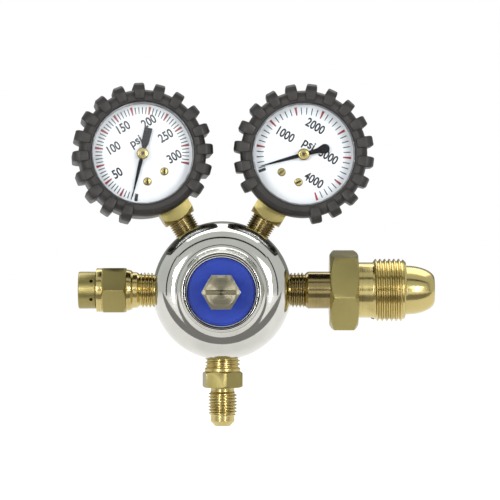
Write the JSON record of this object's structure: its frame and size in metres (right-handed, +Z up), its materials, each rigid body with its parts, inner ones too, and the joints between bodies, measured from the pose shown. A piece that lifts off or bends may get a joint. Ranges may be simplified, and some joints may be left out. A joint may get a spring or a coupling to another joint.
{
  "type": "gas cylinder pressure regulator",
  "caption": "Round brass gas regulator with polished bell bonnet, two rubber-booted pressure gauges, hexagon inlet nut with bullet nose, relief valve and flare outlet.",
  "frame": {"origin": "centre of the flat tip of the inlet nose, where the nose's axis leaves the object", "axes": "+X along the inlet axis, out of the nose towards the cylinder valve; +Z up, towards the gauges; -Y is the front, where the bonnet, the adjusting screw and the dials face"},
  "size_m": [0.142, 0.0805, 0.1333],
  "materials": {
    "brass_body": "satin machined",
    "chrome_bonnet": "polished",
    "blue_label": "satin print",
    "screw_steel": "turned, bright",
    "inner_steel": "turned",
    "spring_wire": "drawn wire",
    "diaphragm_rubber": "matt",
    "inner_brass": "turned",
    "seat_plastic": "matt",
    "inlet_brass": "turned, bright",
    "filter_bronze": "sintered",
    "relief_brass": "turned, bright",
    "outlet_brass": "turned, bright",
    "boot_rubber": "moulded, semi-matt",
    "case_steel": "pressed",
    "lens_clear": "clear, polished",
    "dial_white": "satin white",
    "dial_brass": "turned",
    "pointer_black": "satin black",
    "movement_brass": "stamped",
    "tube_bronze": "drawn",
    "link_steel": "stamped",
    "gauge_brass": "machined"
  },
  "bodies": {
    "regulator": {"body": "brass_body", "bonnet": "chrome_bonnet", "label_disc": "blue_label", "slip_washer": "inner_steel", "diaphragm": "diaphragm_rubber", "seat_nozzle": "inner_brass", "adjusting_spring": "spring_wire", "valve_spring": "spring_wire", "inlet_nipple": "inlet_brass", "inlet_filter": "filter_bronze", "relief_body": "relief_brass", "relief_cap": "relief_brass", "relief_spring": "spring_wire", "outlet_fitting": "outlet_brass", "left_boot": "boot_rubber", "left_case": "case_steel", "left_lens": "lens_clear", "left_dial": "dial_white", "left_dial_screw_a": "dial_brass", "left_dial_screw_b": "dial_brass", "left_movement_frame": "movement_brass", "left_bourdon_tube": "tube_bronze", "left_hairspring": "spring_wire", "left_socket": "gauge_brass", "right_boot": "boot_rubber", "right_case": "case_steel", "right_lens": "lens_clear", "right_dial": "dial_white", "right_dial_screw_a": "dial_brass", "right_dial_screw_b": "dial_brass", "right_movement_frame": "movement_brass", "right_bourdon_tube": "tube_bronze", "right_hairspring": "spring_wire", "right_socket": "gauge_brass"},
    "spring_button": {"spring_button": "inner_steel"},
    "adjusting_screw": {"adjusting_screw": "screw_steel"},
    "diaphragm_plate": {"diaphragm_plate": "inner_brass"},
    "valve_poppet": {"valve_poppet": "inner_steel", "seat_disc": "seat_plastic"},
    "relief_poppet": {"relief_poppet": "inner_brass", "relief_seal": "diaphragm_rubber"},
    "inlet_nut": {"inlet_nut": "inlet_brass"},
    "left_pointer": {"left_pointer": "pointer_black", "left_pointer_hub": "dial_brass", "left_arbor": "movement_brass"},
    "left_sector": {"left_sector": "movement_brass"},
    "left_link": {"left_link": "link_steel"},
    "right_pointer": {"right_pointer": "pointer_black", "right_pointer_hub": "dial_brass", "right_arbor": "movement_brass"},
    "right_sector": {"right_sector": "movement_brass"},
    "right_link": {"right_link": "link_steel"}
  },
  "joints": [
    {"name": "adjusting_screw_turn", "type": "hinge", "parent": "spring_button", "child": "adjusting_screw", "pos_m": [-0.0826, -0.058, 0], "axis": [0, 1, 0], "range_deg": [0, 1435]},
    {"name": "spring_button_slide", "type": "slide", "parent": "regulator", "child": "spring_button", "axis": [0, 1, 0], "range_m": [0, 0.00498], "deforming": ["adjusting_spring"]},
    {"name": "diaphragm_plate_slide", "type": "slide", "parent": "regulator", "child": "diaphragm_plate", "axis": [0, 1, 0], "range_m": [0, 0.0006], "stiffness_N_per_m": 1500, "springref_m": -0.001, "deforming": ["diaphragm"]},
    {"name": "valve_poppet_slide", "type": "slide", "parent": "regulator", "child": "valve_poppet", "axis": [0, 1, 0], "range_m": [0, 0.0006], "stiffness_N_per_m": 800, "springref_m": -0.001, "deforming": ["valve_spring"]},
    {"name": "relief_poppet_slide", "type": "slide", "parent": "regulator", "child": "relief_poppet", "axis": [-1, 0, 0], "range_m": [0, 0.0012], "stiffness_N_per_m": 2000, "springref_m": -0.002, "deforming": ["relief_spring"]},
    {"name": "inlet_nut_turn", "type": "hinge", "parent": "regulator", "child": "inlet_nut", "pos_m": [-0.0262, 0, 0], "axis": [1, 0, 0], "continuous": true},
    {"name": "left_pointer_turn", "type": "hinge", "parent": "regulator", "child": "left_pointer", "pos_m": [-0.1141, 0, 0.0527], "axis": [-0.0748, 0.9962, -0.0447], "range_deg": [0, 270], "stiffness_Nm_per_rad": 0.0005, "springref_deg": -28.65, "deforming": ["left_bourdon_tube", "left_hairspring"]},
    {"name": "left_sector_turn", "type": "hinge", "parent": "regulator", "child": "left_sector", "pos_m": [-0.10605, 0.00071, 0.05498], "axis": [-0.0748, 0.9962, -0.0447], "range_deg": [-45.1, 0]},
    {"name": "left_link_turn", "type": "hinge", "parent": "left_sector", "child": "left_link", "pos_m": [-0.10279, 0.00097, 0.05546], "axis": [-0.0748, 0.9962, -0.0447], "range_deg": [0, 45.1]},
    {"name": "right_pointer_turn", "type": "hinge", "parent": "regulator", "child": "right_pointer", "pos_m": [-0.0511, 0, 0.0527], "axis": [0, 1, 0], "range_deg": [0, 270], "stiffness_Nm_per_rad": 0.0005, "springref_deg": -28.65, "deforming": ["right_bourdon_tube", "right_hairspring"]},
    {"name": "right_sector_turn", "type": "hinge", "parent": "regulator", "child": "right_sector", "pos_m": [-0.04525, 0, 0.04668], "axis": [0, 1, 0], "range_deg": [-45.1, 0]},
    {"name": "right_link_turn", "type": "hinge", "parent": "right_sector", "child": "right_link", "pos_m": [-0.04328, 0, 0.04403], "axis": [0, 1, 0], "range_deg": [0, 45.1]}
  ],
  "couplings": [
    {"joint": "adjusting_screw_turn", "follows": "spring_button_slide", "rad_per_m": 5026.5},
    {"joint": "valve_poppet_slide", "follows": "diaphragm_plate_slide", "ratio": 1},
    {"joint": "left_sector_turn", "follows": "left_pointer_turn", "ratio": -0.16667},
    {"joint": "left_link_turn", "follows": "left_pointer_turn", "ratio": 0.16667},
    {"joint": "right_sector_turn", "follows": "right_pointer_turn", "ratio": -0.16667},
    {"joint": "right_link_turn", "follows": "right_pointer_turn", "ratio": 0.16667}
  ]
}
